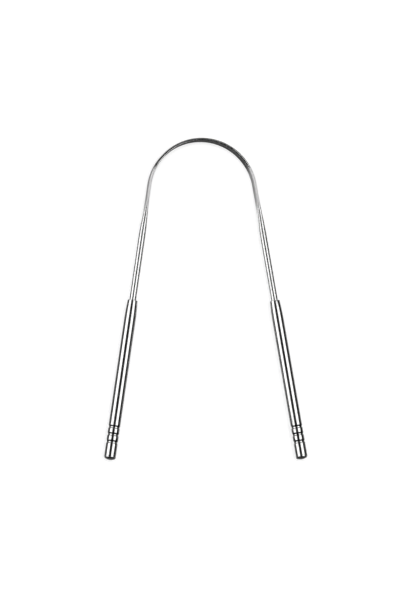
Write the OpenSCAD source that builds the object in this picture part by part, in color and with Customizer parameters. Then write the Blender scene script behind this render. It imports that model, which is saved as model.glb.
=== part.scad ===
// Tongue scraper in polished stainless steel, lying flat with its arch towards +Y.
// One wire is bent into a long U. Around the arch it is forged flat and stands on edge as the
// scraping band, and its two round legs run down into tubular handles, which are swaged at the
// mouth, roll-grooved near the end and closed with domed plugs.

/* [Scraper bow] */
// Diameter of the round wire
wire_d = 3.8; // [3.2:0.1:4.4]
// Radius of the arch, to the middle of the band
arch_r = 26; // [20:0.5:32]
// Angle by which each leg leans outwards
splay = 9; // [4:0.5:14]
// Thickness of the band that the wire is forged into
band_t = 1.3; // [1:0.1:1.8]
// Radius that the band's four long edges are rounded to
band_round = 0.4; // [0.25:0.05:0.5]
// Gap under the band's edge when the scraper lies on a table
band_lift = 0.15; // [0.05:0.05:0.5]
// Straight run of full-width band on each leg, below the arch
flat_len = 6.5; // [2:0.5:12]
// Length over which the band turns back into round wire
blend_len = 19; // [12:0.5:26]
// Length of each leg between the arch and the mouth of its handle
bare_leg = 57; // [45:1:70]

/* [Handle tubes] */
// Outer diameter of the handles
handle_d = 6.4; // [6:0.1:7.2]
// Length of a handle, from its mouth to the tip of its plug
handle_len = 78; // [60:1:95]
// Length over which the tube is drawn in towards its mouth
swage_len = 10.5; // [6:0.5:16]
// Depth by which the outside is drawn in at the mouth
mouth_draw = 0.46; // [0.3:0.02:0.6]
// Length of the snug bore at the mouth, which holds the leg
mouth_land = 2; // [1:0.5:4]
// Radius of the rounded lip at the mouth
lip_r = 0.3; // [0.1:0.05:0.5]

/* [Rolled grooves] */
// Width of a groove's flat floor
groove_floor = 0.6; // [0.4:0.02:1.2]
// Length of the sloping wall on the mouth side of a groove
groove_slope = 0.6; // [0.3:0.02:0.8]
// Depth of a groove, which brings the tube's inside down onto the leg
groove_depth = 0.26; // [0.2:0.02:0.4]
// Distance between grooves
groove_pitch = 3.6; // [3.2:0.1:5]
// Distance from the middle of the last groove's floor to the tip of the handle
groove_end = 8.6; // [6:0.1:12]

/* [End plugs] */
// Radius of the rounded edge of a plug's head
edge_r = 1.3; // [0.5:0.1:1.6]
// Rise of the shallow dome within that edge
dome_rise = 0.4; // [0.2:0.1:0.8]
// Straight part of the head, between the tube's end and the rounded edge
head_land = 0.4; // [0.2:0.1:1]

/* [Fits] */
// Radial gap between the leg or the plug and the tube around it
fit_gap = 0.02; // [0.01:0.01:0.05]

/* [Hidden] */
$fn = 96;
groove_count = 3;
// Chamfer on the hidden ends of the legs and the plugs
tip_chamfer = 0.25;
// The blended skin is this much slimmer than the band and the leg, and runs this far into both
skin_inset = 0.01;
skin_overrun = 0.05;
skin_sides = 32;
skin_steps = 12;
swage_steps = 8;
arc_steps = 6;

wire_r = wire_d / 2;
handle_r = handle_d / 2;
band_w = handle_d - 2 * band_lift;
snug_r = wire_r + fit_gap;
bore_r = snug_r + groove_depth;
tube_wall = handle_r - bore_r;

// The far wall of a groove is a pair of arcs that touch, and the bead inside is rounded off too
wall_r = groove_depth / 2;
bead_axis_r = handle_r - wall_r;
floor_r = handle_r - groove_depth;
half_floor = groove_floor / 2;
bead_r = wall_r + tube_wall;

// The dome is part of a sphere that the rounded edge meets without a corner
dome_angle = 2 * atan(dome_rise / (handle_r - edge_r));
dome_r = edge_r + (handle_r - edge_r) / sin(dome_angle);

// Places along a handle, counted from its mouth
head_start = handle_len - dome_rise - edge_r - head_land;
butt_at = handle_len - groove_end - groove_pitch / 2;

// The legs leave the arch at the tangent points, and the part is centred on its own size
leg_x = arch_r * cos(splay);
leg_drop = arch_r * sin(splay);
below_arch = (bare_leg + handle_len - dome_r) * cos(splay) + dome_r - leg_drop;
above_arch = arch_r + band_t / 2;
arch_y = (below_arch - above_arch) / 2;

function ease(u) = u * u * (3 - 2 * u);

function blend(from, to, u) = from + (to - from) * u;

function groove_at(i) = handle_len - groove_end - i * groove_pitch;

// Half the opening angle of an arc that reaches this deep through a straight edge
function arc_angle(depth, radius) = acos(1 - depth / radius);

// Points of an arc in a profile, where x is the distance from the axis and y runs along it
function arc_points(axis_r, along, radius, from, to) =
    [for (i = [0 : arc_steps])
        let (a = blend(from, to, i / arc_steps))
        [axis_r + radius * cos(a), along + radius * sin(a)]];

// Outside of the swaged end, drawn in fastest at the lip
function swage_r(along) = handle_r - mouth_draw * pow(1 - along / swage_len, 2);

// Outline of one groove from its mouth side to its far side, as the outside of a tube
function groove_outline(along) =
    concat(
        [[handle_r, along - half_floor - groove_slope], [floor_r, along - half_floor]],
        arc_points(bead_axis_r, along + half_floor, wall_r, 180, 90),
        arc_points(bead_axis_r, along + half_floor + groove_depth, wall_r, 270, 360));

// Outline of the bead that the groove raises on the inside, from its far side to its mouth side
function bead_outline(along, clearance) =
    let (r = bead_r + clearance, a = arc_angle(groove_depth, r))
    concat(
        arc_points(bead_axis_r, along + half_floor, r, 180 - a, 180),
        arc_points(bead_axis_r, along - half_floor, r, 180, 180 + a));

function all_grooves() =
    [for (i = [groove_count - 1 : -1 : 0]) each groove_outline(groove_at(i))];

function all_beads() =
    [for (i = [0 : groove_count - 1]) each bead_outline(groove_at(i), 0)];

// Ring of the skin between band and wire: a rounded oblong, or a circle once its corners meet
function skin_ring(half_t, half_w, corner, along) =
    [for (i = [0 : skin_sides - 1])
        let (a = (i + 1 / 2) * 360 / skin_sides)
        [
            corner * cos(a) + sign(cos(a)) * (half_t - corner),
            corner * sin(a) + sign(sin(a)) * (half_w - corner),
            along
        ]];

// Places its children on a leg, with z running down the leg's axis and x across the U
module on_leg(side, along) {
    translate([side * leg_x, arch_y + leg_drop, handle_r])
        rotate([90, 0, side * splay])
            translate([0, 0, along]) children();
}

// Section of the band, standing on edge
module band_section() {
    flat_t = band_t - 2 * band_round;
    flat_w = band_w - 2 * band_round;
    square([band_t, flat_w], center = true);
    square([flat_t, band_w], center = true);
    for (face = [-1, 1], end = [-1, 1])
        translate([face * flat_t / 2, end * flat_w / 2]) circle(r = band_round);
}

module arch_band() {
    translate([0, arch_y, handle_r])
        rotate([0, 0, splay])
            rotate_extrude(angle = 180 - 2 * splay)
                translate([arch_r, 0]) band_section();
}

// Flat run and blend of one leg, as a skin through rings along the leg
module blended_skin() {
    thin = band_t / 2 - skin_inset;
    wide = band_w / 2 - skin_inset;
    round_r = wire_r - skin_inset;
    rings = concat(
        [skin_ring(thin, wide, band_round, -skin_overrun)],
        [for (i = [0 : skin_steps])
            let (u = i / skin_steps)
            skin_ring(blend(thin, round_r, ease(u)), blend(wide, round_r, ease(u)),
                blend(band_round, round_r, ease(u)), flat_len + u * blend_len)],
        [skin_ring(round_r, round_r, round_r, flat_len + blend_len + skin_overrun)]);
    last = len(rings) - 1;
    sides = [for (k = [0 : last - 1], i = [0 : skin_sides - 1])
        let (
            a = k * skin_sides + i,
            b = k * skin_sides + (i + 1) % skin_sides)
        each [[a, a + skin_sides, b + skin_sides], [a, b + skin_sides, b]]];
    near_end = [for (i = [0 : skin_sides - 1]) i];
    far_end = [for (i = [skin_sides - 1 : -1 : 0]) last * skin_sides + i];
    polyhedron(points = [for (ring = rings) each ring], faces = concat(sides, [near_end, far_end]));
}

// Round part of one leg, down to where it butts against the plug
module round_leg() {
    start = flat_len + blend_len;
    length = bare_leg + butt_at - start;
    translate([0, 0, start]) cylinder(r = wire_r, h = length - tip_chamfer);
    translate([0, 0, start + length - tip_chamfer])
        cylinder(r1 = wire_r, r2 = wire_r - tip_chamfer, h = tip_chamfer);
}

module scraper_bow() {
    color("silver") {
        arch_band();
        for (side = [-1, 1])
            on_leg(side, 0) {
                blended_skin();
                round_leg();
            }
    }
}

module tube_profile() {
    lip_axis_r = swage_r(lip_r) - lip_r;
    polygon(concat(
        [[snug_r, 0]],
        arc_points(lip_axis_r, lip_r, lip_r, -90, 0),
        [for (i = [1 : swage_steps])
            let (along = blend(lip_r, swage_len, i / swage_steps))
            [swage_r(along), along]],
        all_grooves(),
        [[handle_r, head_start], [bore_r, head_start]],
        all_beads(),
        [[bore_r, swage_len], [snug_r, mouth_land]]));
}

module handle_tube(side) {
    color("gainsboro")
        on_leg(side, bare_leg) rotate_extrude() tube_profile();
}

// The last groove closes on a neck in the plug and locks it
module plug_profile() {
    spigot_r = bore_r - fit_gap;
    start = butt_at + fit_gap;
    edge_axis_r = handle_r - edge_r;
    edge_along = handle_len - dome_rise - edge_r;
    neck = bead_outline(groove_at(0), fit_gap);
    polygon(concat(
        [[0, start], [spigot_r - tip_chamfer, start], [spigot_r, start + tip_chamfer]],
        [for (i = [len(neck) - 1 : -1 : 0]) neck[i]],
        [[spigot_r, head_start], [handle_r, head_start]],
        arc_points(edge_axis_r, edge_along, edge_r, 0, 90 - dome_angle),
        [for (i = [1 : arc_steps])
            let (a = blend(90 - dome_angle, 90, i / arc_steps))
            [dome_r * cos(a), handle_len - dome_r + dome_r * sin(a)]]));
}

module end_plug(side) {
    color("lightgray")
        on_leg(side, bare_leg) rotate_extrude() plug_profile();
}

module left_handle_tube() { handle_tube(-1); }
module right_handle_tube() { handle_tube(1); }
module left_end_plug() { end_plug(-1); }
module right_end_plug() { end_plug(1); }

scraper_bow();
left_handle_tube();
right_handle_tube();
left_end_plug();
right_end_plug();
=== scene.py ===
import math

import bmesh
import bpy
from mathutils import Matrix, Vector


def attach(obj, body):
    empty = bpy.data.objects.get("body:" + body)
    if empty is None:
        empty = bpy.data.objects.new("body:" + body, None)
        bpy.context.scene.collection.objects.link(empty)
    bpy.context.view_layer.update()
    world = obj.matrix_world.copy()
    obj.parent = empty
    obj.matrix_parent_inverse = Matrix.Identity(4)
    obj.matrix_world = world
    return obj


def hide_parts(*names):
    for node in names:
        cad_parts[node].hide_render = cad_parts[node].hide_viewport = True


# Steel tongue scraper lying on a pale table, seen from above
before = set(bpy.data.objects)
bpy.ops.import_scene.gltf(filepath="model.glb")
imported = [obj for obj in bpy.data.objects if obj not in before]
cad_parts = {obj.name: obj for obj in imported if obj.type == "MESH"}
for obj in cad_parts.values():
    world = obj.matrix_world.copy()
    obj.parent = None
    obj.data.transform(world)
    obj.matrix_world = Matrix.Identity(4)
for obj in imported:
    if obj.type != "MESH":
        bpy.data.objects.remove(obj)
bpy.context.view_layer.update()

mm = 0.001
mergeWithin = 1e-6
mirrorWithin = 1e-5
smoothAngle = math.radians(38)
quarterTurn = math.radians(90)
# a ring this many edge widths from a small rounded edge keeps the shading beside it straight
ringGap = 3

# the line that each leg and handle follow, and the fit between them, shared by all the pieces
layout = {
    "archRadius": 26.0 * mm,
    "archY": 51.347 * mm,
    "height": 3.2 * mm,
    "splay": math.radians(9),
    "bareLeg": 57.0 * mm,
    "wireRadius": 1.9 * mm,
    "fitGap": 0.02 * mm,
}


def deselectAll():
    if bpy.context.object and bpy.context.object.mode == "EDIT":
        bpy.ops.object.mode_set(mode="OBJECT")
    bpy.ops.object.select_all(action="DESELECT")


def startEditing(name):
    # names the primitive that was just added and puts its place into its mesh
    piece = bpy.context.object
    piece.name = name
    piece.data.name = name
    bpy.ops.object.transform_apply(location=True, rotation=True, scale=True)
    bpy.ops.object.mode_set(mode="EDIT")
    bpy.ops.mesh.select_mode(type="VERT")
    return piece


def selectedVertices():
    mesh = bmesh.from_edit_mesh(bpy.context.object.data)
    return {v.index for v in mesh.verts if v.select}


def selectVertices(wanted, test=None):
    mesh = bmesh.from_edit_mesh(bpy.context.object.data)
    for v in mesh.verts:
        v.select_set(v.index in wanted and (test is None or test(v.co)))
    mesh.select_flush_mode()
    bmesh.update_edit_mesh(bpy.context.object.data)


def extrudeBy(step):
    bpy.ops.mesh.extrude_region_move(
        TRANSFORM_OT_translate={"value": step, "orient_type": "GLOBAL"})


def mergeAndTurnOut():
    bpy.ops.mesh.select_all(action="SELECT")
    bpy.ops.mesh.remove_doubles(threshold=mergeWithin)
    bpy.ops.mesh.normals_make_consistent(inside=False)
    bpy.ops.object.mode_set(mode="OBJECT")


def arc(axisR, along, radius, start, end, steps):
    # points of an arc in a profile: distance from the axis, then place along it
    points = []
    for i in range(steps + 1):
        a = math.radians(start + (end - start) * i / steps)
        points.append((axisR + radius * math.cos(a), along + radius * math.sin(a)))
    return points


def lathe(name, profile, sides):
    # one vertex is extruded along the profile, and that line is spun round the Z axis
    deselectAll()
    bpy.ops.mesh.primitive_plane_add(size=mm, location=(0, 0, 0))
    piece = startEditing(name)
    bpy.ops.mesh.merge(type="CENTER")
    last = Vector((profile[0][0], 0, profile[0][1]))
    bpy.ops.transform.translate(value=last)
    for r, along in profile[1:]:
        point = Vector((r, 0, along))
        extrudeBy(point - last)
        last = point
    bpy.ops.mesh.select_all(action="SELECT")
    bpy.ops.mesh.spin(steps=sides, angle=2 * math.pi, center=(0, 0, 0), axis=(0, 0, 1))
    mergeAndTurnOut()
    return piece


def legDirection(side):
    return Vector((side * math.sin(layout["splay"]), -math.cos(layout["splay"]), 0))


def archEnd(side):
    return Vector((side * layout["archRadius"] * math.cos(layout["splay"]),
                   layout["archY"] + layout["archRadius"] * math.sin(layout["splay"]),
                   layout["height"]))


def copyToHandle(piece, name, side):
    # Z of the copy runs down the leg, from the mouth of the handle
    twin = piece.copy()
    twin.data = piece.data.copy()
    twin.name = name
    twin.data.name = name
    bpy.context.collection.objects.link(twin)
    twin.location = archEnd(side) + legDirection(side) * layout["bareLeg"]
    twin.rotation_euler = (quarterTurn, 0, side * layout["splay"])
    deselectAll()
    twin.select_set(True)
    bpy.context.view_layer.objects.active = twin
    bpy.ops.object.transform_apply(location=True, rotation=True, scale=True)
    bpy.ops.object.shade_smooth_by_angle(angle=smoothAngle)
    return twin


# handle tube: lip, swage, barrel and three rolled grooves outside, bore and beads inside
tube = {
    "radius": layout["height"],
    "length": 75.9 * mm,
    "swage": 10.5 * mm,
    "swageSteps": 20,
    "lip": 0.3 * mm,
    "lipSteps": 8,
    "mouthLand": 2.0 * mm,
    "mouthDraw": 0.46 * mm,
    "grooveCount": 3,
    "groovePitch": 3.6 * mm,
    "lastGroove": 69.4 * mm,
    "grooveFloor": 0.6 * mm,
    "grooveSlope": 0.6 * mm,
    "grooveDepth": 0.26 * mm,
    "grooveEdge": 0.05 * mm,
    "wallSteps": 6,
    "endEdge": 0.05 * mm,
    "endSteps": 5,
    "sides": 96,
}
snugBore = layout["wireRadius"] + layout["fitGap"]
bore = snugBore + tube["grooveDepth"]
grooves = [tube["lastGroove"] - i * tube["groovePitch"] for i in reversed(range(tube["grooveCount"]))]
# the leg butts against the plug halfway between the last two grooves
buttAt = tube["lastGroove"] - tube["groovePitch"] / 2
# a groove slopes down on the mouth side and ends at a steep wall, a pair of arcs that touch
wallR = tube["grooveDepth"] / 2
floorR = tube["radius"] - tube["grooveDepth"]
halfFloor = tube["grooveFloor"] / 2
beadAxis = tube["radius"] - wallR
beadR = wallR + tube["radius"] - bore


def swageRadius(along):
    return tube["radius"] - tube["mouthDraw"] * (1 - along / tube["swage"]) ** 2


def grooveOutline(middle):
    near = middle - halfFloor
    far = middle + halfFloor
    edge = tube["grooveEdge"]
    start = near - tube["grooveSlope"]
    # each of the slope's two corners is broken by three points of a curve
    fall = edge * tube["grooveDepth"] / tube["grooveSlope"]
    points = [
        (tube["radius"], start - edge),
        (tube["radius"] - fall / 4, start),
        (tube["radius"] - fall, start + edge),
        (floorR + fall, near - edge),
        (floorR + fall / 4, near),
        (floorR, near + edge),
    ]
    points += arc(beadAxis, far, wallR, 180, 90, tube["wallSteps"])
    points += arc(beadAxis, far + 2 * wallR, wallR, 270, 360, tube["wallSteps"])[1:]
    points.append((tube["radius"], far + 2 * wallR + edge))
    return points


def beadOutline(middle, clearance):
    # from the far side of the bead to its mouth side
    r = beadR + clearance
    a = math.degrees(math.acos(1 - tube["grooveDepth"] / r))
    points = arc(beadAxis, middle + halfFloor, r, 180 - a, 180, tube["wallSteps"])
    return points + arc(beadAxis, middle - halfFloor, r, 180, 180 + a, tube["wallSteps"])


def tubeProfile():
    # from the mouth along the outside to the end, and back along the bore
    lip = tube["lip"]
    edge = tube["endEdge"]
    points = [(snugBore, lip / 2)]
    points += arc(snugBore + lip / 2, lip / 2, lip / 2, 180, 270, tube["lipSteps"] // 2)[1:]
    points += arc(swageRadius(lip) - lip, lip, lip, -90, 0, tube["lipSteps"])
    for i in range(1, tube["swageSteps"] + 1):
        along = lip + (tube["swage"] - lip) * i / tube["swageSteps"]
        points.append((swageRadius(along), along))
    for middle in grooves:
        points += grooveOutline(middle)
    points.append((tube["radius"], tube["length"] - ringGap * edge))
    points += arc(tube["radius"] - edge, tube["length"] - edge, edge, 0, 90, tube["endSteps"])
    points.append((bore, tube["length"]))
    for middle in reversed(grooves):
        points += beadOutline(middle, 0)
    points += [(bore, tube["swage"]), (snugBore, tube["mouthLand"]), points[0]]
    return points


tubePattern = lathe("tube_pattern", tubeProfile(), tube["sides"])
leftTube = copyToHandle(tubePattern, "left_tube", -1)
rightTube = copyToHandle(tubePattern, "right_tube", 1)
bpy.data.objects.remove(tubePattern)
print("handle tubes:", len(leftTube.data.polygons), "faces each")

# end plug: spigot with a neck for the last groove, head with a rounded edge and shallow dome
plug = {
    "chamfer": 0.25 * mm,
    "headLand": 0.4 * mm,
    "headEdge": 0.04 * mm,
    "headEdgeSteps": 4,
    "roundEdge": 1.3 * mm,
    "domeRise": 0.4 * mm,
    "domeSteps": 12,
}


def plugProfile():
    start = buttAt + layout["fitGap"]
    spigot = bore - layout["fitGap"]
    headStart = tube["length"]
    headEdge = plug["headEdge"]
    points = [(0, start), (spigot - plug["chamfer"], start), (spigot, start + plug["chamfer"])]
    points += reversed(beadOutline(grooves[-1], layout["fitGap"]))
    points.append((spigot, headStart))
    points += arc(tube["radius"] - headEdge, headStart + headEdge, headEdge, -90, 0,
                  plug["headEdgeSteps"])
    points.append((tube["radius"], headStart + ringGap * headEdge))
    # the rounded edge runs into a dome that is part of a sphere
    edgeAxis = tube["radius"] - plug["roundEdge"]
    edgeAlong = headStart + plug["headLand"]
    domeAngle = 2 * math.degrees(math.atan(plug["domeRise"] / edgeAxis))
    domeR = plug["roundEdge"] + edgeAxis / math.sin(math.radians(domeAngle))
    domeAxis = edgeAlong + plug["roundEdge"] + plug["domeRise"] - domeR
    points += arc(edgeAxis, edgeAlong, plug["roundEdge"], 0, 90 - domeAngle, plug["domeSteps"])
    points += arc(0, domeAxis, domeR, 90 - domeAngle, 90, plug["domeSteps"])[1:]
    return points


plugPattern = lathe("plug_pattern", plugProfile(), tube["sides"])
leftPlug = copyToHandle(plugPattern, "left_plug", -1)
rightPlug = copyToHandle(plugPattern, "right_plug", 1)
bpy.data.objects.remove(plugPattern)
print("end plugs:", len(leftPlug.data.polygons), "faces each")

# bow: a flat band on edge round the arch, turning into round wire on each leg
bow = {
    "bandThickness": 1.3 * mm,
    "bandWidth": 6.1 * mm,
    "bandRound": 0.4 * mm,
    "flatRun": 6.5 * mm,
    "blendRun": 19.0 * mm,
    "blendSteps": 28,
    "wireSteps": 8,
    "tipChamfer": 0.25 * mm,
    "ringPoints": 48,
    "archSteps": 72,
}


def reshapeRing(centre, before, after):
    # each quarter round of the section is scaled and moved, so that flats open or close between
    ring = selectedVertices()
    across = Vector((math.cos(before["turn"]), math.sin(before["turn"]), 0))
    for side in (1, -1):
        for half in (1, -1):
            selectVertices(ring, lambda place: half * (place.z - centre.z) > 0
                           and side * across.dot(place - centre) > 0)
            old = across * side * before["flatAcross"] + Vector((0, 0, half * before["flat"]))
            new = across * side * after["flatAcross"] + Vector((0, 0, half * after["flat"]))
            scale = after["round"] / before["round"]
            bpy.ops.transform.resize(value=(scale, scale, scale), center_override=centre + old)
            bpy.ops.transform.translate(value=new - old)
    selectVertices(ring)


def startBow():
    # a small circle at the top of the arch, opened to the band's section and spun to one leg
    deselectAll()
    archCentre = Vector((0, layout["archY"], layout["height"]))
    apex = archCentre + Vector((0, layout["archRadius"], 0))
    # half a step of turn keeps every vertex off the middle planes, where the flats begin
    halfStep = math.pi / bow["ringPoints"]
    turn = Matrix.Rotation(halfStep, 3, "X") @ Matrix.Rotation(quarterTurn, 3, "Y")
    bpy.ops.mesh.primitive_circle_add(vertices=bow["ringPoints"], radius=bow["bandRound"],
                                      location=apex, rotation=turn.to_euler())
    piece = startEditing("steel_bow")
    # a section is the way it faces, the radius of its corners, and half of its two flats
    circle = {"turn": quarterTurn, "round": bow["bandRound"], "flat": 0, "flatAcross": 0}
    band = dict(circle)
    band["flat"] = bow["bandWidth"] / 2 - bow["bandRound"]
    band["flatAcross"] = bow["bandThickness"] / 2 - bow["bandRound"]
    reshapeRing(apex, circle, band)
    bpy.ops.mesh.spin(steps=bow["archSteps"], angle=quarterTurn - layout["splay"],
                      center=archCentre, axis=(0, 0, 1))
    band["turn"] = layout["splay"]
    return piece, band


def blendToWire(band):
    # runs the band down the leg, then rounds it off step by step
    down = legDirection(1)
    extrudeBy(down * bow["flatRun"])
    centre = archEnd(1) + down * bow["flatRun"]
    step = down * (bow["blendRun"] / bow["blendSteps"])
    before = band
    for i in range(1, bow["blendSteps"] + 1):
        u = i / bow["blendSteps"]
        eased = u * u * (3 - 2 * u)
        extrudeBy(step)
        centre = centre + step
        after = dict(band)
        after["round"] += (layout["wireRadius"] - band["round"]) * eased
        after["flat"] *= 1 - eased
        after["flatAcross"] *= 1 - eased
        reshapeRing(centre, before, after)
        before = after
    return centre


def extrudeWire(centre):
    # round wire down to the plug, with a chamfered tip
    down = legDirection(1)
    tip = bow["tipChamfer"]
    run = layout["bareLeg"] + buttAt - bow["flatRun"] - bow["blendRun"] - tip
    for i in range(bow["wireSteps"]):
        extrudeBy(down * (run / bow["wireSteps"]))
    extrudeBy(down * tip)
    scale = 1 - tip / layout["wireRadius"]
    bpy.ops.transform.resize(value=(scale, scale, scale), center_override=centre + down * (run + tip))
    bpy.ops.mesh.edge_face_add()


def buildBow():
    piece, band = startBow()
    extrudeWire(blendToWire(band))
    bpy.ops.object.mode_set(mode="OBJECT")
    mirror = piece.modifiers.new("other_half", "MIRROR")
    mirror.merge_threshold = mirrorWithin
    bpy.ops.object.modifier_apply(modifier=mirror.name)
    bpy.ops.object.mode_set(mode="EDIT")
    mergeAndTurnOut()
    bpy.ops.object.shade_smooth_by_angle(angle=smoothAngle)
    return piece


steelBow = buildBow()
print("bow:", len(steelBow.data.polygons), "faces")


def setOrLink(tree, socket, value):
    if isinstance(value, (int, float, tuple)):
        socket.default_value = value
    else:
        tree.links.new(value, socket)


def mathNode(tree, operation, first, second=None, clamp=False):
    node = tree.nodes.new("ShaderNodeMath")
    node.operation = operation
    node.use_clamp = clamp
    setOrLink(tree, node.inputs[0], first)
    if second is not None:
        setOrLink(tree, node.inputs[1], second)
    return node.outputs[0]


def rangeNode(tree, value, low, high, outLow=0.0, outHigh=1.0, curve="SMOOTHSTEP"):
    node = tree.nodes.new("ShaderNodeMapRange")
    node.interpolation_type = curve
    for name, given in (("Value", value), ("From Min", low), ("From Max", high),
                        ("To Min", outLow), ("To Max", outHigh)):
        setOrLink(tree, node.inputs[name], given)
    return node.outputs["Result"]


def noiseNode(tree, place, scale, detail, distortion=0.0):
    node = tree.nodes.new("ShaderNodeTexNoise")
    setOrLink(tree, node.inputs["Vector"], place)
    setOrLink(tree, node.inputs["Scale"], scale)
    node.inputs["Detail"].default_value = detail
    node.inputs["Distortion"].default_value = distortion
    return node.outputs["Fac"]


def mixNode(tree, mask, plain, masked):
    node = tree.nodes.new("ShaderNodeMix")
    node.data_type = "RGBA"
    setOrLink(tree, node.inputs["A"], plain)
    setOrLink(tree, node.inputs["B"], masked)
    tree.links.new(mask, node.inputs["Factor"])
    return node.outputs["Result"]


# shader groups for the three steels, whose noise has these scales per metre
texture = {
    # the levels that noise mostly stays between, and below those that its patches begin and end at
    "noiseLow": 0.3,
    "noiseHigh": 0.7,
    # turn in degrees, then the scales along and across the hairs
    "hairRuns": ((12, 90, 5200), (74, 120, 6100), (131, 70, 4700), (165, 150, 6900)),
    "hairLow": 0.66,
    "hairHigh": 0.76,
    "lineScale": 9000.0,
    "bandScale": 700.0,
    "cloudLow": 0.42,
    "cloudHigh": 0.68,
    "wearScale": 900.0,
    "wearLow": 0.35,
    "wearHigh": 0.65,
    "skinScale": 900.0,
    "skinSpread": 0.08,
    # noise that breaks up the edges of the painted shade in the grooves
    "shadeNoiseScale": 1800.0,
    "shadeSpread": 0.15,
    "shadeBlur": 0.2,
    # size of the normal's Z, from the sides of a groove, where the painted shade fades out, to its
    # top, where the painted shade is full
    "unshadedZ": 0.42,
    "shadedZ": 0.62,
}


def newGroup(name, inputs, outputs):
    group = bpy.data.node_groups.new(name, "ShaderNodeTree")
    group.interface.new_socket(name="Vector", in_out="INPUT", socket_type="NodeSocketVector")
    for socketName, default in inputs.items():
        socket = group.interface.new_socket(name=socketName, in_out="INPUT",
                                            socket_type="NodeSocketFloat")
        socket.default_value = default
    for socketName in outputs:
        group.interface.new_socket(name=socketName, in_out="OUTPUT", socket_type="NodeSocketFloat")
    given = group.nodes.new("NodeGroupInput").outputs
    out = group.nodes.new("NodeGroupOutput").inputs
    return group, given, out


def raggedNode(group, place, scale, middle, spread):
    # noise that swings by this spread about a middle value
    noise = noiseNode(group, place, scale, detail=2.0)
    return rangeNode(group, noise, texture["noiseLow"], texture["noiseHigh"],
                     middle - spread, middle + spread)


def placeAlong(group, given):
    # both legs lean outwards by the same angle, so the place along a leg uses the size of x
    split = group.nodes.new("ShaderNodeSeparateXYZ")
    group.links.new(given["Vector"], split.inputs[0])
    radians = mathNode(group, "RADIANS", given["Splay"])
    outwards = mathNode(group, "MULTIPLY", mathNode(group, "ABSOLUTE", split.outputs["X"]),
                        mathNode(group, "SINE", radians))
    down = mathNode(group, "MULTIPLY", split.outputs["Y"], mathNode(group, "COSINE", radians))
    return mathNode(group, "SUBTRACT", outwards, down)


def buildScratches():
    # hairline scratches in four directions, stretched noise cut off near its peaks
    group, given, out = newGroup("hair_scratches", {"Amount": 0.5}, ("Mask",))
    total = 0.0
    for turn, along, across in texture["hairRuns"]:
        mapping = group.nodes.new("ShaderNodeMapping")
        mapping.inputs["Rotation"].default_value = (0, 0, math.radians(turn))
        mapping.inputs["Scale"].default_value = (along, across, across)
        group.links.new(given["Vector"], mapping.inputs["Vector"])
        noise = noiseNode(group, mapping.outputs["Vector"], 1.0, detail=1.0)
        hair = rangeNode(group, noise, texture["hairLow"], texture["hairHigh"])
        total = mathNode(group, "MAXIMUM", total, hair)
    group.links.new(mathNode(group, "MULTIPLY", total, given["Amount"], clamp=True), out["Mask"])
    return group


def buildPolishLines():
    # fine lines left round the wire and the tubes by the polishing wheel, and broader bands
    group, given, out = newGroup(
        "polish_lines", {"Splay": math.degrees(layout["splay"]), "Fineness": 1.0},
        ("Lines", "Bands"))
    along = placeAlong(group, given)
    for name, scale, detail in (("Lines", texture["lineScale"], 4.0),
                                ("Bands", texture["bandScale"], 3.0)):
        noise = group.nodes.new("ShaderNodeTexNoise")
        noise.noise_dimensions = "1D"
        noise.inputs["Scale"].default_value = scale
        noise.inputs["Detail"].default_value = detail
        group.links.new(mathNode(group, "MULTIPLY", along, given["Fineness"]), noise.inputs["W"])
        group.links.new(noise.outputs["Fac"], out[name])
    return group


def buildHandling():
    # faint clouds where fingers have touched the polish
    group, given, out = newGroup("handling_marks", {"Size": 160.0}, ("Mask",))
    clouds = noiseNode(group, given["Vector"], given["Size"], detail=5.0, distortion=0.6)
    group.links.new(rangeNode(group, clouds, texture["cloudLow"], texture["cloudHigh"]), out["Mask"])
    return group


def buildEdgeWear():
    # convex edges, broken up by noise, where the polish has rubbed dull
    group, given, out = newGroup("edge_wear", {"Low": 0.52, "High": 0.6}, ("Mask",))
    geometry = group.nodes.new("ShaderNodeNewGeometry")
    convex = rangeNode(group, geometry.outputs["Pointiness"], given["Low"], given["High"],
                       curve="LINEAR")
    noise = noiseNode(group, given["Vector"], texture["wearScale"], detail=3.0)
    broken = rangeNode(group, noise, texture["wearLow"], texture["wearHigh"])
    group.links.new(mathNode(group, "MULTIPLY", convex, broken, clamp=True), out["Mask"])
    return group


def buildForgeSkin():
    # matt skin left on each leg where the band turns into wire, and the drawn wire below it
    group, given, out = newGroup(
        "forge_skin", {"From": 0.044, "To": 0.064, "Taper": 0.009, "Fade": 0.0035},
        ("Mask", "Wire"))
    split = group.nodes.new("ShaderNodeSeparateXYZ")
    group.links.new(given["Vector"], split.inputs[0])
    ragged = raggedNode(group, given["Vector"], texture["skinScale"], 0.5, texture["skinSpread"])
    parts = []
    for first, second, run in ((split.outputs["Y"], given["From"], "Taper"),
                               (given["To"], split.outputs["Y"], "Fade")):
        inside = mathNode(group, "DIVIDE", mathNode(group, "SUBTRACT", first, second), given[run])
        parts.append(mathNode(group, "ADD", inside, ragged, clamp=True))
    group.links.new(mathNode(group, "MULTIPLY", parts[0], parts[1]), out["Mask"])
    group.links.new(mathNode(group, "SUBTRACT", 1.0, parts[0]), out["Wire"])
    return group


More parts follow.
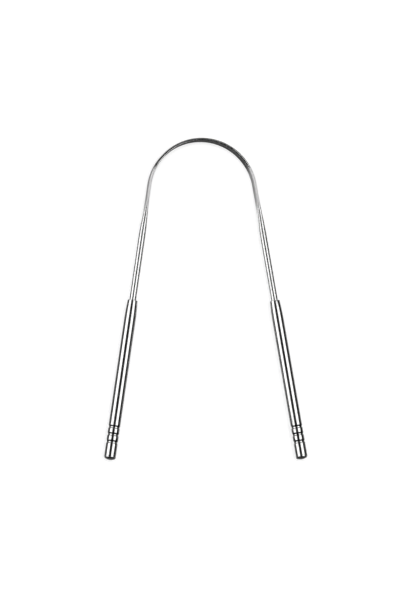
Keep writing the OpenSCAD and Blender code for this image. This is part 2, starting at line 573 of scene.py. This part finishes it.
def buildGroovePaintedShade():
    # painted shade: a dark colour on the two walls of each rolled groove, standing in for the shade
    # and dark reflections in them
    group, given, out = newGroup(
        "groove_painted_shade",
        {"Splay": math.degrees(layout["splay"]), "First": 0.0, "Last": 0.0, "Pitch": 1.0,
         "Half": 0.1, "Far Wall": 0.3, "Far Half": 0.05},
        ("Mask",))
    turns = mathNode(group, "DIVIDE",
                     mathNode(group, "SUBTRACT", placeAlong(group, given), given["First"]),
                     given["Pitch"])
    nearest = mathNode(group, "MINIMUM", mathNode(group, "MAXIMUM", turns, 0.0), given["Last"])
    place = mathNode(group, "SUBTRACT", turns, mathNode(group, "ROUND", nearest))
    ragged = raggedNode(group, given["Vector"], texture["shadeNoiseScale"], 1.0, texture["shadeSpread"])
    stripes = []
    for wall, half in ((0.0, given["Half"]), (given["Far Wall"], given["Far Half"])):
        apart = mathNode(group, "ABSOLUTE", mathNode(group, "SUBTRACT", place, wall))
        reach = mathNode(group, "DIVIDE", mathNode(group, "MULTIPLY", apart, ragged), half)
        stripes.append(rangeNode(group, reach, 1.0 - texture["shadeBlur"],
                                 1.0 + texture["shadeBlur"], outLow=1.0, outHigh=0.0))
    stripe = mathNode(group, "MAXIMUM", stripes[0], stripes[1])
    # the painted shade fades out on the sides of the tube and stays where the normal points steeply up
    # or down
    normal = group.nodes.new("ShaderNodeSeparateXYZ")
    group.links.new(group.nodes.new("ShaderNodeNewGeometry").outputs["Normal"], normal.inputs[0])
    upper = rangeNode(group, mathNode(group, "ABSOLUTE", normal.outputs["Z"]),
                      texture["unshadedZ"], texture["shadedZ"])
    group.links.new(mathNode(group, "MULTIPLY", stripe, upper), out["Mask"])
    return group


scratchGroup = buildScratches()
lineGroup = buildPolishLines()
handlingGroup = buildHandling()
wearGroup = buildEdgeWear()
forgeGroup = buildForgeSkin()
groovePaintedShadeGroup = buildGroovePaintedShade()


def groupNode(tree, group, place, values):
    node = tree.nodes.new("ShaderNodeGroup")
    node.node_tree = group
    tree.links.new(place, node.inputs["Vector"])
    for name, value in values.items():
        node.inputs[name].default_value = value
    return node.outputs


def newMaterial(name):
    material = bpy.data.materials.new(name)
    material.use_nodes = True
    tree = material.node_tree
    return material, tree, tree.nodes["Principled BSDF"].inputs


def paintGrooveShade(tree, place, base, grooveShade):
    # mixes a dark painted shade colour into a steel's colour on the walls of the rolled grooves
    slopeMiddle = (layout["bareLeg"] + grooves[0] - halfFloor - tube["grooveSlope"] / 2
                   - layout["archY"] * math.cos(layout["splay"]))
    farWall = tube["grooveFloor"] + tube["grooveSlope"] / 2 + wallR
    pitch = tube["groovePitch"]
    grooveShadeMask = groupNode(tree, groovePaintedShadeGroup, place, {
        "First": slopeMiddle + grooveShade["shift"],
        "Last": tube["grooveCount"] - 1,
        "Pitch": pitch,
        "Half": grooveShade["half"] / pitch,
        "Far Wall": (farWall - grooveShade["shift"]) / pitch,
        "Far Half": grooveShade["farHalf"] / pitch,
    })
    return mixNode(tree, grooveShadeMask["Mask"], base, grooveShade["colour"])


def polishedSteel(name, finish):
    material, tree, shader = newMaterial(name)
    place = tree.nodes.new("ShaderNodeTexCoord").outputs["Object"]
    scratches = groupNode(tree, scratchGroup, place, {"Amount": finish["scratches"]})["Mask"]
    lines = groupNode(tree, lineGroup, place, {"Fineness": finish["fineness"]})
    handling = groupNode(tree, handlingGroup, place, {"Size": finish["handlingSize"]})["Mask"]
    wear = groupNode(tree, wearGroup, place,
                     {"Low": finish["wearLow"], "High": finish["wearHigh"]})["Mask"]

    dull = mathNode(tree, "MAXIMUM",
                    mathNode(tree, "MULTIPLY", handling, finish["handlingDull"]), wear)
    base = mixNode(tree, dull, finish["colour"], finish["dulled"])
    # painted shade on the groove walls, where the finish lists it
    if "grooveShade" in finish:
        base = paintGrooveShade(tree, place, base, finish["grooveShade"])
    tree.links.new(base, shader["Base Color"])

    rough = rangeNode(tree, lines["Bands"], texture["noiseLow"], texture["noiseHigh"],
                      finish["roughness"] * (1 - finish["bandSpread"]),
                      finish["roughness"] * (1 + finish["bandSpread"]))
    roughened = [(handling, finish["handlingRough"]),
                 (scratches, finish["scratchRough"]),
                 (wear, finish["wearRough"])]
    metal = 1.0
    if "forge" in finish:
        forge = finish["forge"]
        skin = groupNode(tree, forgeGroup, place, {
            "From": forge["from"],
            "To": forge["to"],
            "Taper": forge["taper"],
            "Fade": forge["fade"],
        })
        roughened += [(skin["Mask"], forge["rough"]), (skin["Wire"], forge["wireRough"])]
        metal = mathNode(tree, "SUBTRACT", 1.0,
                         mathNode(tree, "MULTIPLY", skin["Mask"], forge["skin"]))
    setOrLink(tree, shader["Metallic"], metal)
    for mask, extra in roughened:
        rough = mathNode(tree, "ADD", rough, mathNode(tree, "MULTIPLY", mask, extra))
    tree.links.new(rough, shader["Roughness"])

    bump = tree.nodes.new("ShaderNodeBump")
    bump.inputs["Strength"].default_value = 1.0
    bump.inputs["Distance"].default_value = finish["relief"]
    height = mathNode(tree, "SUBTRACT",
                      mathNode(tree, "MULTIPLY", lines["Lines"], finish["lineHeight"]),
                      mathNode(tree, "MULTIPLY", scratches, finish["scratchDepth"]))
    tree.links.new(height, bump.inputs["Height"])
    tree.links.new(bump.outputs["Normal"], shader["Normal"])
    return material


bowFinish = {
    "colour": (0.86, 0.86, 0.86, 1),
    "dulled": (0.78, 0.78, 0.78, 1),
    "roughness": 0.13,
    "bandSpread": 0.15,
    "fineness": 1.0,
    "scratches": 0.55,
    "scratchRough": 0.10,
    "scratchDepth": 0.6,
    "lineHeight": 0.35,
    "relief": 0.0012 * mm,
    "handlingSize": 190.0,
    "handlingRough": 0.03,
    "handlingDull": 0.35,
    "wearLow": 0.53,
    "wearHigh": 0.62,
    "wearRough": 0.08,
    "forge": {
        "from": 47.0 * mm,
        "to": 62.7 * mm,
        "taper": 9.0 * mm,
        "fade": 3.5 * mm,
        "rough": 0.5,
        "skin": 0.35,
        "wireRough": 0.09,
    },
}
handleFinish = {
    "colour": (0.82, 0.82, 0.82, 1),
    "dulled": (0.74, 0.74, 0.74, 1),
    "roughness": 0.12,
    "bandSpread": 0.15,
    "fineness": 0.8,
    "scratches": 0.7,
    "scratchRough": 0.10,
    "scratchDepth": 0.6,
    "lineHeight": 0.35,
    "relief": 0.0014 * mm,
    "handlingSize": 140.0,
    "handlingRough": 0.03,
    "handlingDull": 0.35,
    "wearLow": 0.52,
    "wearHigh": 0.60,
    "wearRough": 0.10,
    # painted shade in the rolled grooves: a dark colour on their walls that stands in for shade
    "grooveShade": {
        "colour": (0.12, 0.12, 0.12, 1),
        "shift": -0.05 * mm,
        "half": 0.37 * mm,
        "farHalf": 0.20 * mm,
    },
}
plugFinish = {
    "colour": (0.80, 0.80, 0.80, 1),
    "dulled": (0.70, 0.70, 0.70, 1),
    "roughness": 0.15,
    "bandSpread": 0.15,
    "fineness": 1.3,
    "scratches": 0.9,
    "scratchRough": 0.12,
    "scratchDepth": 0.8,
    "lineHeight": 0.6,
    "relief": 0.0016 * mm,
    "handlingSize": 240.0,
    "handlingRough": 0.04,
    "handlingDull": 0.35,
    "wearLow": 0.52,
    "wearHigh": 0.60,
    "wearRough": 0.12,
}
bowSteel = polishedSteel("bow_steel_polished", bowFinish)
handleSteel = polishedSteel("handle_steel_polished", handleFinish)
plugSteel = polishedSteel("plug_steel_polished", plugFinish)

for piece, node, slot, material in (
        (steelBow, "scraper_bow", "bow_steel", bowSteel),
        (leftTube, "left_handle_tube", "handle_steel", handleSteel),
        (rightTube, "right_handle_tube", "handle_steel", handleSteel),
        (leftPlug, "left_end_plug", "plug_steel", plugSteel),
        (rightPlug, "right_end_plug", "plug_steel", plugSteel)):
    piece.data.materials.clear()
    piece.data.materials.append(material)
    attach(piece, "root")
    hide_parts(node)
print("steel: three finishes on five pieces")

# table top, a matt white board
table = {
    "size": 6.0,
    "colour": (0.6, 0.6, 0.6, 1),
    "roughness": 0.5,
    "whiteness": 0.5,
}


def buildTable():
    deselectAll()
    bpy.ops.mesh.primitive_plane_add(size=table["size"], location=(0, 0, 0))
    board = bpy.context.object
    board.name = "table_top"
    material, tree, shader = newMaterial("table_white")
    shader["Base Color"].default_value = table["colour"]
    shader["Roughness"].default_value = table["roughness"]
    seen = tree.nodes.new("ShaderNodeLightPath").outputs
    anyRay = mathNode(tree, "MAXIMUM", seen["Is Camera Ray"], seen["Is Glossy Ray"])
    anyRay = mathNode(tree, "MAXIMUM", anyRay, seen["Is Transmission Ray"])
    shader["Emission Color"].default_value = (1, 1, 1, 1)
    strength = mathNode(tree, "MULTIPLY", anyRay, table["whiteness"])
    tree.links.new(strength, shader["Emission Strength"])
    board.data.materials.append(material)


# painted shade: a dark grey sheet just above the table, seen only in reflections, that stands in for
# the shaded table round the metal, with a slot along each leg and handle
reflectedShade = {
    "size": 1.4,
    "lift": 0.03 * mm,
    # how far each slot reaches to the left and right of its leg
    "slots": {-1: (-11.0 * mm, 12.5 * mm), 1: (-11.0 * mm, 15.0 * mm)},
    "slotTop": 38.5 * mm,
    "slotFade": 14.0 * mm,
    "slotEnd": -80.0 * mm,
    # the dark grey of the painted shade
    "colour": (0.09, 0.09, 0.09, 1),
    "roughness": 0.9,
}


def slotAcross(side):
    down = legDirection(side)
    return Vector((-down.y, down.x, 0))


def inSlotLine(place):
    for side, (low, high) in reflectedShade["slots"].items():
        if low < slotAcross(side).dot(place - archEnd(side)) < high:
            return True
    return False


def cutSlots(mask):
    cuts = [((0, reflectedShade[end], 0), (0, 1, 0)) for end in ("slotTop", "slotEnd")]
    for side, edges in reflectedShade["slots"].items():
        across = slotAcross(side)
        cuts += [(archEnd(side) + across * edge, across) for edge in edges]
    for place, normal in cuts:
        bpy.ops.mesh.select_all(action="SELECT")
        bpy.ops.mesh.bisect(plane_co=place, plane_no=normal)
    bpy.ops.mesh.select_mode(type="FACE")
    mesh = bmesh.from_edit_mesh(mask.data)
    for face in mesh.faces:
        place = face.calc_center_median()
        between = reflectedShade["slotEnd"] < place.y < reflectedShade["slotTop"]
        face.select_set(between and inSlotLine(place))
    bmesh.update_edit_mesh(mask.data)
    bpy.ops.mesh.delete(type="FACE")
    bpy.ops.object.mode_set(mode="OBJECT")


def reflectedShadeMaterial(name, fading):
    material, tree, shader = newMaterial(name)
    shader["Base Color"].default_value = reflectedShade["colour"]
    shader["Roughness"].default_value = reflectedShade["roughness"]
    shader["Specular IOR Level"].default_value = 0.0
    if fading:
        split = tree.nodes.new("ShaderNodeSeparateXYZ")
        tree.links.new(tree.nodes.new("ShaderNodeTexCoord").outputs["Object"], split.inputs[0])
        top = reflectedShade["slotTop"]
        grey = rangeNode(tree, split.outputs["Y"], top, top + reflectedShade["slotFade"])
        tree.links.new(grey, shader["Alpha"])
    return material


def buildReflectedShade():
    deselectAll()
    bpy.ops.mesh.primitive_plane_add(size=reflectedShade["size"], location=(0, 0, reflectedShade["lift"]))
    mask = startEditing("reflected_shade_sheet")
    cutSlots(mask)
    # the slots don't end with a sharp edge: past their tops the grey comes back gradually
    mask.data.materials.append(reflectedShadeMaterial("painted_shade_grey", False))
    mask.data.materials.append(reflectedShadeMaterial("painted_shade_fading", True))
    for face in mask.data.polygons:
        if face.center.y > reflectedShade["slotTop"] and inSlotLine(face.center):
            face.material_index = 1
    # the sheet of painted shade is hidden from the camera, from diffuse light and from shadows, so
    # only reflections show it
    mask.visible_camera = False
    mask.visible_diffuse = False
    mask.visible_transmission = False
    mask.visible_shadow = False


buildTable()
buildReflectedShade()
print("table: white board with its grey mask")

# two softboxes whose reflections make the stripes; their angles are counted from straight above
softboxes = {
    "distance": 1.2,
    "radiance": 1.2,
    "left": {"side": -1, "top": 29.5, "bottom": 68.5, "length": 1.05, "middle": 0.225},
    "right": {"side": 1, "top": 13.8, "bottom": 50.9, "length": 0.70, "middle": 0.05},
}
# a fill that metal doesn't show
fill = {
    "size": 3.0,
    "height": 2.6,
    "radiance": 2.1,
}
# pale card past the arch, which only reflections show, so that low views aren't black
card = {
    "y": 1.6,
    "height": 0.75,
    "width": 2.4,
    "depth": 0.8,
    "radiance": 0.45,
}
roomStrength = 0.02


def facing(place, back):
    # a lamp or camera at a place, with its back this way and its sides level
    across = Vector((0, 1, 0)).cross(back).normalized()
    return Matrix.Translation(place) @ Matrix((across, back.cross(across), back)).transposed().to_4x4()


def addAreaLight(name, place, aim, sizeX, sizeY, radiance):
    deselectAll()
    bpy.ops.object.light_add(type="AREA", location=place)
    lamp = bpy.context.object
    lamp.name = name
    lamp.data.shape = "RECTANGLE"
    lamp.data.size = sizeX
    lamp.data.size_y = sizeY
    # Cycles gives an area light a radiance of its power over four times its area
    lamp.data.energy = 4 * sizeX * sizeY * radiance
    lamp.data.color = (1, 1, 1)
    lamp.matrix_world = facing(place, (place - aim).normalized())
    return lamp


for name in ("left", "right"):
    box = softboxes[name]
    away = softboxes["distance"]
    middleAngle = math.radians(box["top"] + box["bottom"]) / 2
    halfAngle = math.radians(box["bottom"] - box["top"]) / 2
    aim = Vector((0, box["middle"], 0))
    place = aim + away * Vector((box["side"] * math.sin(middleAngle), 0, math.cos(middleAngle)))
    addAreaLight(name + "_softbox", place, aim, 2 * away * math.tan(halfAngle), box["length"],
                 softboxes["radiance"])
origin = Vector((0, 0, 0))
fillLamp = addAreaLight("fill_lamp", Vector((0, 0, fill["height"])), origin, fill["size"],
                        fill["size"], fill["radiance"])
fillLamp.visible_glossy = False
farCard = addAreaLight("far_card", Vector((0, card["y"], card["height"])), origin, card["width"],
                       card["depth"], card["radiance"])
farCard.visible_diffuse = False

room = bpy.data.worlds.new("dim_room")
room.use_nodes = True
room.node_tree.nodes["Background"].inputs["Color"].default_value = (1, 1, 1, 1)
room.node_tree.nodes["Background"].inputs["Strength"].default_value = roomStrength
bpy.context.scene.world = room
print("light: two softboxes, a fill and a far card")

# camera almost straight above, a little to the left and towards the handles
cameraSet = {
    "aim": Vector((-1.54 * mm, -0.90 * mm, layout["height"])),
    "lean": Vector((-0.150, -0.115, 1.0)),
    "distance": 2.0,
    "roll": math.radians(-0.826),
    "lens": 165.69,
    "sensor": 24.0,
}
bpy.ops.object.camera_add()
camera = bpy.context.object
camera.name = "camera_above"
back = cameraSet["lean"].normalized()
camera.matrix_world = (facing(cameraSet["aim"] + back * cameraSet["distance"], back)
                       @ Matrix.Rotation(cameraSet["roll"], 4, "Z"))
camera.data.sensor_fit = "VERTICAL"
camera.data.sensor_height = cameraSet["sensor"]
camera.data.lens = cameraSet["lens"]
bpy.context.scene.camera = camera
bpy.context.scene.view_settings.view_transform = "Standard"
print("camera set")
